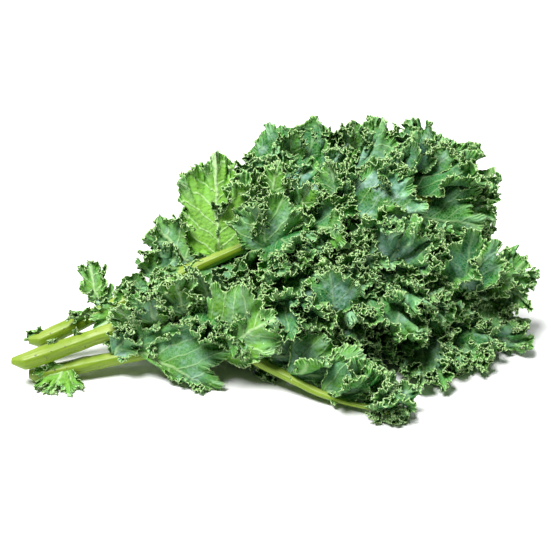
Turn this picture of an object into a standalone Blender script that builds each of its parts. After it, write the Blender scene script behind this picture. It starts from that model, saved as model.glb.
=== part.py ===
"""A bunch of curly kale lying on a table: five leaves, each a thick grooved stem that runs on as the
midrib under a broad ruffled blade, with small leaflets growing on the three long stems.

Metres, +Z up. The cut stem ends point to -X and the leaves fan out to +X. The bunch lies on z = 0 and the
origin is in the middle of its footprint.
"""

import math
from dataclasses import dataclass

import bmesh
import bpy
from mathutils import Vector
from mathutils.bvhtree import BVHTree

# Driving sizes.
STEM_GREEN = (0.36, 0.50, 0.14)
BLADE_GREEN = (0.06, 0.17, 0.05)
LEAFLET_GREEN = (0.09, 0.24, 0.05)
BLADE_THICKNESS = 0.008  # the depth that the folds of one ruffled blade take up
LEAFLET_THICKNESS = 0.003
TOUCH_GAP = 0.0006  # kept between pieces that touch
LEAFLET_GAP = 0.0016  # the same, where a leaflet's broad foot meets a round stem
STACK_GAP = 0.0050  # kept between a blade and the one lying on it
RUFFLE = 0.009  # the wave along a blade's edge, to each side of its middle
DRAPE_REACH = 0.012  # how far around a point the blades below it are felt for
STEM_MARGIN = 0.010  # how far a blade stays to the side of another leaf's stem before it goes over or under
FLOOR_SINK = 0.0016  # how much of a resting blade the table flattens
STEM_STATIONS = 15
STEM_SIDES = 10
GROOVE_DEPTH = 0.22  # of the stem's radius
TIP_SHARE = 0.2  # the midrib's thickness at the leaf's tip, as a share of the stem's at the cut


@dataclass
class Leaf:
    """One leaf: the line of its stem and midrib, and the blade that it carries. Pairs are for the sides at -Y and +Y."""

    number: int
    spine: list  # points from the cut end to the leaf's tip
    stem_radius: float
    blade_from: float  # where along the spine the blade starts, 0 to 1
    half_width: tuple
    bulge: tuple  # how far the blade humps above its midrib halfway out
    droop: tuple  # how far the blade's edge hangs below its midrib
    lobes: int
    phase: float


LEAVES = [
    Leaf(5, [(-0.092, -0.024, 0.0062), (-0.035, -0.020, 0.012), (0.045, -0.022, 0.017), (0.125, -0.030, 0.015),
             (0.182, -0.036, 0.008)], 0.0045, 0.12, (0.060, 0.055), (0.008, 0.004), (0.020, 0.016), 5, 0.4),
    Leaf(4, [(-0.100, 0.010, 0.0066), (-0.045, 0.034, 0.015), (0.025, 0.064, 0.026), (0.095, 0.080, 0.026),
             (0.152, 0.086, 0.014)], 0.0048, 0.10, (0.058, 0.066), (0.006, 0.022), (0.002, 0.034), 5, 2.0),
    Leaf(3, [(-0.192, -0.076, 0.0067), (-0.107, -0.060, 0.017), (-0.044, -0.062, 0.025), (0.000, -0.084, 0.016),
             (0.037, -0.104, 0.008), (0.088, -0.124, 0.006)], 0.0062, 0.36, (0.024, 0.060), (0.004, 0.014),
         (0.004, -0.008), 5, 1.1),
    Leaf(2, [(-0.203, -0.0795, 0.0196), (-0.126, -0.052, 0.034), (-0.060, -0.038, 0.050), (0.020, -0.024, 0.068),
             (0.090, -0.014, 0.070), (0.150, -0.006, 0.054), (0.196, 0.000, 0.034)],
         0.0066, 0.34, (0.098, 0.060), (0.034, 0.0), (0.040, 0.020), 6, 3.0),
    Leaf(1, [(-0.194, -0.047, 0.0165), (-0.103, -0.022, 0.051), (-0.048, -0.004, 0.070), (0.053, 0.020, 0.104),
             (0.105, 0.030, 0.106), (0.154, 0.036, 0.086), (0.186, 0.040, 0.062)],
         0.0064, 0.33, (0.074, 0.100), (0.016, 0.040), (0.030, 0.054), 6, 5.2),
]


@dataclass
class Leaflet:
    """A small leaf growing on a stem."""

    name: str
    stem: int
    at: float  # where along the stem's spine, 0 to 1
    points: tuple  # which way it grows from the stem
    length: float
    half_width: float


LEAFLETS = [
    Leaflet("leaflet_1_upper", 1, 0.150, (-0.30, 0.25, 0.92), 0.033, 0.012),
    Leaflet("leaflet_1_back", 1, 0.170, (0.15, 0.75, 0.60), 0.021, 0.011),
    Leaflet("leaflet_1_front", 1, 0.180, (0.10, -0.95, 0.16), 0.021, 0.011),
    Leaflet("leaflet_1_low", 1, 0.040, (-0.55, 0.30, 0.60), 0.013, 0.005),
    Leaflet("leaflet_2_low", 2, 0.140, (0.10, 0.35, 0.90), 0.008, 0.005),
    Leaflet("leaflet_3_front", 3, 0.115, (-0.15, -0.97, 0.00), 0.024, 0.013),
    Leaflet("leaflet_3_upper", 3, 0.245, (0.45, 0.00, 0.90), 0.020, 0.011),
]


def smooth_line(points, count):
    """Returns count points, evenly spaced, on a Catmull-Rom curve through the given ones."""
    ends = [2 * Vector(points[0]) - Vector(points[1]), 2 * Vector(points[-1]) - Vector(points[-2])]
    knots = [ends[0], *map(Vector, points), ends[1]]
    fine = []
    for a, b, c, d in zip(knots, knots[1:], knots[2:], knots[3:]):
        for step in range(24):
            t = step / 24
            fine.append(0.5 * (2 * b + (c - a) * t + (2 * a - 5 * b + 4 * c - d) * t * t
                               + (3 * b - a - 3 * c + d) * t ** 3))
    fine.append(knots[-2])
    run = [0.0]
    for before, after in zip(fine, fine[1:]):
        run.append(run[-1] + (after - before).length)
    line, i = [], 0
    for k in range(count):
        want = run[-1] * k / (count - 1)
        while i < len(run) - 2 and run[i + 1] < want:
            i += 1
        share = (want - run[i]) / (run[i + 1] - run[i])
        line.append(fine[i].lerp(fine[i + 1], share))
    return line


def material(name, colour, roughness):
    made = bpy.data.materials.new(name)
    made.use_nodes = True
    shader = made.node_tree.nodes["Principled BSDF"]
    shader.inputs["Base Color"].default_value = (*colour, 1)
    shader.inputs["Roughness"].default_value = roughness
    shader.inputs["Metallic"].default_value = 0.0
    return made


def add_object(name, data, finish):
    obj = bpy.data.objects.new(name, data)
    bpy.context.scene.collection.objects.link(obj)
    data.materials.append(finish)
    return obj


def stem_profile():
    """The stem's section: round below, with a shallow groove along the top. It is a guide and is not built."""
    curve = bpy.data.curves.new("stem_profile", "CURVE")
    curve.dimensions = "2D"
    ring = curve.splines.new("POLY")
    ring.points.add(STEM_SIDES - 1)
    for k, point in enumerate(ring.points):
        angle = -2 * math.pi * k / STEM_SIDES
        top = max(0.0, math.sin(angle))
        radius = 1 - GROOVE_DEPTH * top ** 6
        point.co = (radius * math.cos(angle), radius * math.sin(angle), 0, 1)
    ring.use_cyclic_u = True
    guide = bpy.data.objects.new("stem_profile", curve)
    bpy.context.scene.collection.objects.link(guide)
    guide.hide_render = True
    guide.display_type = "WIRE"
    return guide


def stem_radius_at(leaf, share):
    """The stem's radius at a share of its length: it tapers slowly to the blade and then to the tip."""
    return leaf.stem_radius * (TIP_SHARE + (1 - TIP_SHARE) * (1 - share ** 1.3))


def build_stem(leaf, profile, finish):
    curve = bpy.data.curves.new(f"stem_{leaf.number}", "CURVE")
    curve.dimensions = "3D"
    curve.twist_mode = "Z_UP"
    curve.bevel_mode = "OBJECT"
    curve.bevel_object = profile
    curve.use_fill_caps = True
    line = smooth_line(leaf.spine, STEM_STATIONS)
    spline = curve.splines.new("POLY")
    spline.points.add(len(line) - 1)
    for k, (point, place) in enumerate(zip(spline.points, line)):
        point.co = (*place, 1)
        point.radius = stem_radius_at(leaf, k / (len(line) - 1))
    return add_object(curve.name, curve, finish)


def blade_outline(share, lobes):
    """Half width of a blade, from 0 to 1, at a share of its length, with rounded lobes along the edge."""
    body = math.sin(math.pi * min(1.0, 0.10 + 0.86 * share)) ** 0.55
    return body * (0.90 + 0.10 * math.cos(2 * math.pi * lobes * share + math.pi))


def sheet_mesh(name, along, across, place):
    """A grid of along by across cells, each corner moved to place(share of length, share across from -1 to 1)."""
    form = bmesh.new()
    bmesh.ops.create_grid(form, x_segments=along, y_segments=across, size=0.5)
    for vertex in form.verts:
        vertex.co = place(vertex.co.x + 0.5, 2 * vertex.co.y)
    bmesh.ops.recalc_face_normals(form, faces=form.faces)
    if sum(face.normal.z for face in form.faces) < 0:
        bmesh.ops.reverse_faces(form, faces=form.faces)
    mesh = bpy.data.meshes.new(name)
    form.to_mesh(mesh)
    form.free()
    return mesh


def thicken(obj, thickness):
    solid = obj.modifiers.new("thickness", "SOLIDIFY")
    solid.thickness = thickness
    solid.offset = 0
    solid.use_even_offset = False


def floor_cutter():
    """The space below the table top, which flattens what rests on it. It is a cutter and is not built."""
    form = bmesh.new()
    bmesh.ops.create_cube(form, size=1.0)
    bmesh.ops.translate(form, verts=form.verts, vec=(0, 0, -0.5))
    mesh = bpy.data.meshes.new("table_cutter")
    form.to_mesh(mesh)
    form.free()
    cutter = bpy.data.objects.new("table_cutter", mesh)
    bpy.context.scene.collection.objects.link(cutter)
    cutter.hide_render = True
    cutter.display_type = "WIRE"
    return cutter


def rest_on_table(obj, cutter):
    cut = obj.modifiers.new("table", "BOOLEAN")
    cut.operation = "DIFFERENCE"
    cut.solver = "EXACT"
    cut.object = cutter


def height_of_pile(trees, spot):
    """Top of the blades laid so far around this place, or None where there are none."""
    tops = []
    for k in range(9):
        reach = DRAPE_REACH if k else 0
        x = spot.x + reach * math.cos(math.pi * k / 4)
        y = spot.y + reach * math.sin(math.pi * k / 4)
        hits = [tree.ray_cast(Vector((x, y, 1.0)), Vector((0, 0, -1)))[0] for tree in trees]
        tops += [hit.z for hit in hits if hit is not None]
    return max(tops) if tops else None


def clear_of_stems(leaf, spot, height, middle):
    """Keeps a blade's point under or over the other leaves' stems, whichever is nearer."""
    for other in LEAVES:
        if other is leaf:
            continue
        line = smooth_line(other.spine, 41)
        nearest = min(range(41), key=lambda k: (line[k].xy - spot.xy).length)
        radius = stem_radius_at(other, nearest / 40)
        if (line[nearest].xy - spot.xy).length > radius + STEM_MARGIN:
            continue
        room = radius + middle + STACK_GAP
        if line[nearest].z > height:
            height = min(height, line[nearest].z - room)
        else:
            height = max(height, line[nearest].z + room)
    return height


def build_blade(leaf, pile, cutter, finish):
    """The ruffled blade over the midrib, draped on the blades below it."""
    along, across = 20, 12
    line = smooth_line(leaf.spine, 121)
    middle = BLADE_THICKNESS / 2

    def place(share, side):
        at = leaf.blade_from + (1 - leaf.blade_from) * share
        index = min(119, int(at * 120))
        centre = line[index].lerp(line[index + 1], at * 120 - index)
        forward = (line[index + 1] - line[index]).normalized()
        sideways = Vector((-forward.y, forward.x, 0)).normalized()
        hand, out = int(side > 0), abs(side)
        outline = blade_outline(share, leaf.lobes)
        reach = leaf.half_width[hand] * outline * side
        spot = centre + sideways * reach + forward * abs(reach) * 0.25
        ruffle = RUFFLE * out ** 1.5 * math.sin(2 * math.pi * leaf.lobes * share + leaf.phase + 1.7 * side)
        hump = leaf.bulge[hand] * math.sin(math.pi * min(1.0, out / 0.9)) * outline
        lift = (stem_radius_at(leaf, at) + middle + TOUCH_GAP) / forward.xy.length
        height = centre.z + lift + hump - leaf.droop[hand] * out ** 1.8 + ruffle
        below = height_of_pile(pile, spot)
        if below is not None:
            height = max(height, below + middle + STACK_GAP)
        height = clear_of_stems(leaf, spot, height, middle)
        return Vector((spot.x, spot.y, max(height, middle - FLOOR_SINK)))

    obj = add_object(f"blade_{leaf.number}", sheet_mesh(f"blade_{leaf.number}", along, across, place), finish)
    thicken(obj, BLADE_THICKNESS)
    rest_on_table(obj, cutter)
    bpy.context.view_layer.update()
    pile.append(BVHTree.FromObject(obj, bpy.context.evaluated_depsgraph_get()))
    return obj


def build_leaflet(leaflet, leaf, finish):
    """A small wavy leaf standing a hair off the stem that it grows on."""
    line = smooth_line(leaf.spine, 121)
    root = line[round(leaflet.at * 120)]
    outward = Vector(leaflet.points).normalized()
    forward = (line[round(leaflet.at * 120) + 1] - root).normalized()
    sideways = (forward - outward * forward.dot(outward)).normalized()
    normal = outward.cross(sideways)
    from_axis = (outward - forward * outward.dot(forward)).normalized()
    foot = root + from_axis * (stem_radius_at(leaf, leaflet.at) + LEAFLET_GAP)

    def place(share, side):
        width = leaflet.half_width * math.sin(math.pi * (0.04 + 0.88 * share)) ** 0.75
        bend = 0.25 * leaflet.length * share * share
        wave = 0.12 * leaflet.half_width * abs(side) * math.sin(9 * share + 2 * side)
        spot = foot + outward * leaflet.length * share + sideways * width * side
        spot += normal * (wave - bend * 0.4)
        spot.z = max(spot.z, LEAFLET_THICKNESS / 2 + TOUCH_GAP)
        return spot

    obj = add_object(leaflet.name, sheet_mesh(leaflet.name, 6, 4, place), finish)
    thicken(obj, LEAFLET_THICKNESS)
    return obj


def centre_on_origin(objects):
    """Moves the bunch so that the origin is under the middle of its box."""
    bpy.context.view_layer.update()
    graph = bpy.context.evaluated_depsgraph_get()
    corners = []
    for obj in objects:
        shape = obj.evaluated_get(graph)
        corners += [shape.matrix_world @ vertex.co for vertex in shape.to_mesh().vertices]
        shape.to_mesh_clear()
    low = Vector(map(min, zip(*corners)))
    high = Vector(map(max, zip(*corners)))
    bunch = bpy.data.objects.new("bunch", None)
    bpy.context.scene.collection.objects.link(bunch)
    for obj in objects:
        obj.parent = bunch
    bunch.location = (-(low.x + high.x) / 2, -(low.y + high.y) / 2, 0)


def main():
    for obj in list(bpy.data.objects):
        bpy.data.objects.remove(obj)
    stem_finish = material("stem", STEM_GREEN, 0.45)
    blade_finish = material("blade", BLADE_GREEN, 0.55)
    leaflet_finish = material("leaflet", LEAFLET_GREEN, 0.55)
    profile = stem_profile()
    cutter = floor_cutter()
    pile, objects = [], []
    for leaf in LEAVES:
        objects.append(build_stem(leaf, profile, stem_finish))
        objects.append(build_blade(leaf, pile, cutter, blade_finish))
    by_number = {leaf.number: leaf for leaf in LEAVES}
    for leaflet in LEAFLETS:
        objects.append(build_leaflet(leaflet, by_number[leaflet.stem], leaflet_finish))
    centre_on_origin(objects)


main()
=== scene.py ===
"""The looks of a bunch of curly kale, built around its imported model.

Five leaves lie in a loose pile. Each is a thick ridged stem that runs on as the midrib under its ruffled
lobes, and small leaflets grow on the three long stems. Metres, +Z up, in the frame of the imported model.
"""

import logging
import math
from dataclasses import KW_ONLY, dataclass, fields
from enum import Enum

import bmesh
import bpy
import numpy as np
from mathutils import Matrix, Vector

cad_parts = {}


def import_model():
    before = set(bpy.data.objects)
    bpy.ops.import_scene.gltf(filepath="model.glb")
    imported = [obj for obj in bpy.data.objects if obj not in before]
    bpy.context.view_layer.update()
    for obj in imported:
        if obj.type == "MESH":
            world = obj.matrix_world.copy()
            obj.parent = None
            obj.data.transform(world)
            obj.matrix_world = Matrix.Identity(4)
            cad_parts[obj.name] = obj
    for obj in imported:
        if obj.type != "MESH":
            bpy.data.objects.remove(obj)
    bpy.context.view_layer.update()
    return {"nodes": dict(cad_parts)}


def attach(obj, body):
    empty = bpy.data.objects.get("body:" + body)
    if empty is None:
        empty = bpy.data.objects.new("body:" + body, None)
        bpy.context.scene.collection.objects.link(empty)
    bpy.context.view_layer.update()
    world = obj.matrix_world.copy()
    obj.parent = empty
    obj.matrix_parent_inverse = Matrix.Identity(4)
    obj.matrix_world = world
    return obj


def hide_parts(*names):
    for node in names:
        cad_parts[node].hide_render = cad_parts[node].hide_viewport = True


LOG = logging.getLogger("kale")
Array = np.ndarray
Colour = tuple[float, float, float]
Mesh = bpy.types.Mesh
Piece = bpy.types.Object
Material = bpy.types.Material
Socket = bpy.types.NodeSocket

QUARTER = math.pi / 2
UP = np.array([0.0, 0.0, 1.0])
FRONT = np.array([0.0, -0.848, 0.530])  # the way the bunch's open side faces
RISING = np.array([0.0, 0.530, 0.848])  # up along that side
TINY = 1e-6

LEAF_THICKNESS = 0.0005
FLOOR_SOFTNESS = 0.004  # how gently a leaf that reaches the floor bends along it
FAN_SHARE = 0.96  # how much of a half circle a lobe's outline sweeps
BAYS = 3.5  # of a lobe's outline, to each side of its middle vein
TOOTH_SPACING = 0.0032
TOOTH_START = 0.94  # where the edge's teeth begin, as a share of the way out
VEIN_REACH = 1.15  # how far the middle vein is worked out, in lengths of the lobe
EVEN_BAND = (0.15, 0.75)  # from where to where, on the way out, a lobe's columns become even along its edge
ROW_ROOT = 0.7  # how far a row stands off the middle of its midrib, in radii
ROW_ROOT_SHADE = 2.4  # painted shade: how much darker its lobes get towards their roots
TUFT_LENGTH = 0.023  # of the small lobes that stand on a face
TUFT_ROOT = 0.001  # how deep they are set into it
# painted shade towards the small lobes' roots
TUFT_ROOT_SHADE = 0.9
PATTERN_UNITS = 10  # to a metre, on a lobe's flat pattern
CENTIMETRES = 100  # to a metre

# The sheet on which a lobe's ruffles are worked out: its columns, and its rows as shares of the way out.
COLUMNS = 1601
ROWS = np.array([0.06, 0.15, 0.25, 0.34, 0.43, 0.50, 0.56, 0.61, 0.66, 0.70, 0.74, 0.775, 0.81, 0.84, 0.87,
                 0.895, 0.92, 0.94, 0.96, 0.98, 1.0, 1.03, 1.06])
EDGE_ROW = int(np.argmin(abs(ROWS - 1)))


def unit(vectors: Array) -> Array:
    """Vectors made one long, along the last axis."""
    return vectors / np.maximum(np.linalg.norm(vectors, axis=-1, keepdims=True), 1e-12)


def ramp(values: Array, low: float, high: float) -> Array:
    """A smooth rise from 0 at low to 1 at high."""
    share = np.clip((values - low) / (high - low), 0.0, 1.0)
    return share * share * (3 - 2 * share)


def turned(vector: Array, axis: Array, angle: float) -> Array:
    """A vector turned about an axis.

    Args:
        vector: What turns.
        axis: The unit axis.
        angle: In radians, by the right-hand rule.

    Returns:
        The turned vector.
    """
    across = np.cross(axis, vector)
    along = axis * (axis @ vector) * (1 - math.cos(angle))
    return vector * math.cos(angle) + across * math.sin(angle) + along


def mesh_of(form: bmesh.types.BMesh, name: str) -> Mesh:
    """Turns a form into a mesh and frees the form.

    Args:
        form: The form.
        name: The mesh's name.

    Returns:
        The mesh.
    """
    mesh = bpy.data.meshes.new(name)
    form.to_mesh(mesh)
    form.free()
    return mesh


def linked(name: str, data: bpy.types.ID) -> Piece:
    """Puts a new object in the scene.

    Args:
        name: Its name.
        data: Its mesh, light or camera.

    Returns:
        The object.
    """
    made = bpy.data.objects.new(name, data)
    bpy.context.scene.collection.objects.link(made)
    return made


@dataclass(frozen=True)
class Drift:
    """A smooth random curve between about -1 and 1, the same on every run."""

    seed: int
    pace: float  # how many swings there are per unit

    def __call__(self, along: Array) -> Array:
        """The curve's values.

        Args:
            along: The places.

        Returns:
            A value for each.
        """
        rng = np.random.default_rng(self.seed)
        total = np.zeros_like(along)
        for turns in (0.55, 1.0, 1.7):
            total = total + np.sin(along * self.pace * turns * 2 * math.pi * rng.uniform(0.8, 1.2)
                                   + rng.uniform(0, 2 * math.pi)) / turns ** 0.5
        return total / 1.9


@dataclass(frozen=True)
class Wave:
    """One size of ruffle along a lobe's edge."""

    length: float  # from crest to crest, along the edge as the coarser ruffles leave it
    height: float  # at the edge, to each side
    start: float  # where it begins, as a share of the way out
    power: float  # how late it grows
    meander: float  # how far a crest leans over its sides

    def grown(self, out: Array) -> Array:
        """The share of its height that the wave has at each place on the way out."""
        return np.clip((out - self.start) / (1 - self.start), 0, 1.2) ** self.power


WAVES = (Wave(0.045, 0.0070, 0.20, 1.4, 0.10), Wave(0.017, 0.0040, 0.52, 1.2, 0.25),
         Wave(0.0058, 0.0025, 0.76, 0.9, 0.45))
SMALL_WAVES = (Wave(0.026, 0.0045, 0.20, 1.3, 0.10), Wave(0.0105, 0.0028, 0.55, 0.9, 0.30),
               Wave(0.0055, 0.0015, 0.78, 0.9, 0.40))
TUFT_WAVES = (Wave(0.018, 0.0034, 0.25, 1.2, 0.10), Wave(0.0062, 0.0024, 0.68, 0.9, 0.45))
CALM = (Wave(0.050, 0.0050, 0.30, 1.5, 0.10), Wave(0.016, 0.0026, 0.72, 1.2, 0.30),
        Wave(0.0060, 0.0012, 0.86, 0.9, 0.45))
JAGGED = (Wave(0.016, 0.0032, 0.25, 1.2, 0.10), Wave(0.0060, 0.0013, 0.65, 0.9, 0.30))
BORDERED = (Wave(0.040, 0.0050, 0.30, 1.5, 0.10), Wave(0.013, 0.0046, 0.62, 1.2, 0.35),
            Wave(0.0055, 0.0022, 0.82, 0.9, 0.45))


class Detail(Enum):
    """How finely a lobe is meshed: columns at its root, rows in each band, and where the bands end."""

    FINE = (17, (2, 2, 2, 2, 3, 2), (0.06, 0.34, 0.56, 0.73, 0.86, 0.955, 1.0))
    SMALL = (10, (2, 2, 2, 2, 3, 2), (0.06, 0.34, 0.56, 0.73, 0.86, 0.955, 1.0))
    TUFT = (8, (1, 1, 2, 3, 3), (0.06, 0.42, 0.64, 0.80, 0.93, 1.0))
    BUD = (5, (2, 2), (0.06, 0.6, 1.0))
    PLAIN = (16, (1, 2, 2, 2, 3), (0.06, 0.36, 0.60, 0.78, 0.90, 1.0))
    ROUGH = (12, (1, 1, 2, 3), (0.06, 0.40, 0.66, 0.86, 1.0))


def lobe_grid(detail: Detail) -> Mesh:
    """A flat grid whose x runs along a lobe's edge from -1 to 1 and whose y runs out from 0 to 1.

    Args:
        detail: How fine it is. Each band outwards has twice the columns of the one before.

    Returns:
        The mesh, made of quads and triangles.
    """
    columns, rows, edges = detail.value
    form = bmesh.new()
    bmesh.ops.create_grid(form, x_segments=columns, y_segments=sum(rows), size=1.0)
    marks = np.cumsum((0, *rows))
    for vertex in form.verts:
        row = (vertex.co.y + 1) / 2 * sum(rows)
        vertex.co.y = float(np.interp(row, marks, edges))
    for start in edges[1:-1]:
        level = [edge for edge in form.edges if abs(edge.verts[0].co.y - edge.verts[1].co.y) < TINY
                 and edge.verts[0].co.y > start + TINY]
        bmesh.ops.subdivide_edges(form, edges=level, cuts=1)
    return mesh_of(form, "grid")


@dataclass(kw_only=True)
class Shape:
    """What a lobe of a leaf looks like, wherever it grows."""

    waves: tuple[Wave, ...] = WAVES
    width: float = 1.0  # against a round outline
    lopsided: float = 0.0  # how much wider its left side is than its right, -1 to 1
    fullness: float = 0.75  # lower is fuller near the root
    curl: float = 0.0  # degrees that the middle vein bends down over its length
    sweep: float = 0.0  # degrees that it bends to the side
    twist: float = 0.0  # degrees that it rolls
    cup: float = 0.0  # how far the sides rise above the middle vein
    hem: float = 0.014  # how wide a band along the edge turns up
    turn_up: float = 50.0  # degrees that it turns up, on average
    turn_range: float = 50.0  # degrees more or less
    tooth: float = 0.0022  # how far the teeth of the edge stand out
    scallop: float = 0.09  # how deep the outline's bays are
    tone: float = 0.2  # from deep blue-green, 0, to light yellow-green, 1
    bloom: float = 0.5  # how waxy its face is, 0 to 1; it also sets where the painted sheen shows
    root_shade: float = 0.0  # painted shade: how much darker it gets towards its root, where the pile hides it
    detail: Detail = Detail.FINE


@dataclass
class Lobe(Shape):
    """One ruffled lobe of a leaf: a rounded fan that grows out of the midrib."""

    root: Array
    outward: Array  # the way its middle vein leaves the root
    up: Array  # the side that faces up
    length: float
    seed: int

    def __post_init__(self) -> None:
        """Works out the finished surface on a fine sheet."""
        along = np.linspace(-1, 1, COLUMNS)
        self.spine = self.middle_vein()
        turn = along * QUARTER * FAN_SHARE
        bays = self.scallop * np.cos(2 * math.pi * (BAYS * along + 0.2 * Drift(self.seed + 3, 1.3)(along)))
        bumps = 1 + bays + 0.08 * Drift(self.seed + 4, 1.1)(along)
        reach = self.length * np.cos(turn) ** self.fullness * bumps
        aside = np.sin(turn) * self.width * (1 + self.lopsided * np.tanh(4 * along))
        self.outline = (reach, np.cos(turn), aside)
        rise = np.radians(self.turn_up + self.turn_range * Drift(self.seed + 9, 1.6)(along))
        self.sheet = self.base(np.minimum(self.hem, 0.5 * reach), rise)
        self.crest = np.zeros(self.sheet.shape[:2])
        for k, wave in enumerate(self.waves):
            self.sheet = self.ruffled(wave, self.seed + 20 * k, np.cos(turn) ** 0.5)
        self.run = self.edge_run()
        self.teeth = self.edge_teeth()
        self.even = np.interp(np.linspace(0, self.run[-1], COLUMNS), self.run, along)
        height = self.sheet[:, :, 2] - LEAF_THICKNESS
        self.sheet[:, :, 2] = LEAF_THICKNESS + 0.5 * (height + np.sqrt(height ** 2 + FLOOR_SOFTNESS ** 2))

    def edge_teeth(self) -> Array:
        """Spaces the teeth along the edge.

        Returns:
            How far they stand out, as a share of the lobe's reach there.
        """
        place = self.run / TOOTH_SPACING + 1.5 * Drift(self.seed + 5, 60)(self.run)
        teeth = (1 - np.abs(np.sin(math.pi * place))) ** 1.3
        size = self.tooth * (0.75 + 0.6 * Drift(self.seed + 6, 25)(self.run))
        return teeth * np.maximum(size, 0) / np.maximum(self.outline[0], 0.3 * self.length)

    def middle_vein(self, steps: int = 24) -> Array:
        """Walks out along the middle vein.

        Args:
            steps: How many strides.

        Returns:
            A row for each stride: the place, the way to the side and the way up.
        """
        ahead = unit(np.asarray(self.outward, float))
        side = unit(np.cross(np.asarray(self.up, float), ahead))
        up = np.cross(ahead, side)
        here = np.asarray(self.root, float)
        rows = [np.concatenate((here, side, up))]
        for _ in range(steps):
            ahead = turned(ahead, side, math.radians(self.curl / steps))
            up = turned(up, side, math.radians(self.curl / steps))
            ahead, side = (turned(v, up, math.radians(self.sweep / steps)) for v in (ahead, side))
            side, up = (turned(v, ahead, math.radians(self.twist / steps)) for v in (side, up))
            here = here + ahead * self.length * VEIN_REACH / steps
            rows.append(np.concatenate((here, side, up)))
        return np.array(rows)

    def base(self, hem: Array, turn: Array) -> Array:
        """The lobe before it is ruffled: its flat pattern hung on the middle vein, with its edge turned up.

        Args:
            hem: How wide the band is that turns up, along the edge.
            turn: The angle that it turns, along the edge.

        Returns:
            The places, by row and column.
        """
        reach, ahead, aside = self.outline
        out = ROWS[:, None] * reach
        past = np.maximum(out - (reach - hem), 0)
        bend = turn * past / hem / 2
        gone = out - past + past * np.sinc(2 * bend / math.pi)
        ahead, aside = gone * ahead, gone * aside
        rise = past * np.sin(bend) * np.sinc(bend / math.pi) + self.cup * aside ** 2 / self.length
        share = np.clip(ahead / (self.length * VEIN_REACH), 0, 0.9999) * (len(self.spine) - 1)
        index = share.astype(int)
        rest = (share - index)[..., None]
        row = self.spine[index] * (1 - rest) + self.spine[index + 1] * rest
        return row[..., 0:3] + row[..., 3:6] * aside[..., None] + row[..., 6:9] * rise[..., None]

    def edge_run(self) -> Array:
        """The length along the edge, up to each column."""
        steps = np.linalg.norm(np.diff(self.sheet[EDGE_ROW], axis=0), axis=1)
        return np.concatenate(([0.0], np.cumsum(steps)))

    def ruffled(self, wave: Wave, seed: int, pinch: Array) -> Array:
        """Stands one more size of ruffle on the sheet, square to the surface that the coarser ones make.

        Args:
            wave: The ruffle.
            seed: What its randomness starts from.
            pinch: How much of it there is along the edge.

        Returns:
            The new places, by row and column.
        """
        run = self.edge_run() / wave.length
        pace = 1 + 0.30 * Drift(seed + 1, 0.3)(run)
        angle = 2 * math.pi * np.cumsum(np.gradient(run) * pace) + seed
        angle = angle + 2.2 * Drift(seed + 5, 0.2)(run) * (1 - ROWS[:, None])
        size = wave.height * pinch * (1 + 0.45 * Drift(seed + 7, 0.22)(run))
        tangent = unit(np.gradient(self.sheet, axis=1))
        normal = unit(np.cross(np.gradient(self.sheet, ROWS, axis=0), tangent))
        grown = wave.grown(ROWS)[:, None] * size
        rise, lean = np.sin(angle) * grown, np.sin(2 * angle) * grown * wave.meander
        self.crest = self.crest + rise / wave.height
        return self.sheet + rise[..., None] * normal + lean[..., None] * tangent

    def tufts(self, count: int) -> list["Lobe"]:
        """Small frilled lobes that stand on this one's face.

        Args:
            count: How many.

        Returns:
            The small lobes.
        """
        rng = np.random.default_rng(self.seed + 77)
        made = []
        for k in range(count):
            along = (2 * (k + rng.uniform(0.15, 0.85)) / count - 1) * 0.72
            out = rng.uniform(0.34, 0.74)
            row = self.spine[int(out * 0.8 * (len(self.spine) - 1))]
            side, up = row[3:6], row[6:9]
            ahead = np.cross(side, up)
            turn = along * QUARTER * 0.8 + rng.uniform(-0.5, 0.5)
            rise = math.radians(rng.uniform(28, 68))
            level = ahead * math.cos(turn) + side * math.sin(turn)
            outward = level * math.cos(rise) + up * math.sin(rise)
            top = up * math.cos(rise) - level * math.sin(rise)
            column = int((along + 1) / 2 * (COLUMNS - 1))
            root = self.sheet[int(np.interp(out, ROWS, np.arange(len(ROWS)))), column] - up * TUFT_ROOT
            length = TUFT_LENGTH * rng.uniform(0.75, 1.25)
            made.append(Lobe(root, outward, top, length, self.seed + 300 + 13 * k, waves=TUFT_WAVES,
                             width=rng.uniform(0.9, 1.2), curl=rng.uniform(-10, 45),
                             twist=rng.uniform(-25, 25), hem=0.010, turn_up=35,
                             tone=float(np.clip(self.tone + rng.uniform(-0.15, 0.2), 0, 1)),
                             bloom=float(np.clip(self.bloom + rng.uniform(-0.3, 0.3), 0, 1)),
                             root_shade=TUFT_ROOT_SHADE, detail=Detail.TUFT))
        return made

    def look_up(self, along: Array, *columns: Array) -> list[Array]:
        """Reads tables that run along the edge, at these places."""
        return [np.interp(along, np.linspace(-1, 1, COLUMNS), column) for column in columns]

    def spread(self, column: Array, out: Array) -> Array:
        """Where along the edge a column goes, so that the columns are even along the ruffled edge.

        Args:
            column: The column's place, -1 to 1.
            out: From the root, 0 to 1.

        Returns:
            The place along the edge, -1 to 1.
        """
        share = ramp(out, *EVEN_BAND)
        return column * (1 - share) + self.look_up(column, self.even)[0] * share

    def flat(self, along: Array, out: Array) -> Array:
        """Where places lie on the lobe's flat pattern: ahead along the middle vein, and sideways from it."""
        reach, ahead, aside = self.look_up(along, *self.outline)
        return np.stack((out * reach * ahead, out * reach * aside), 1)

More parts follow.
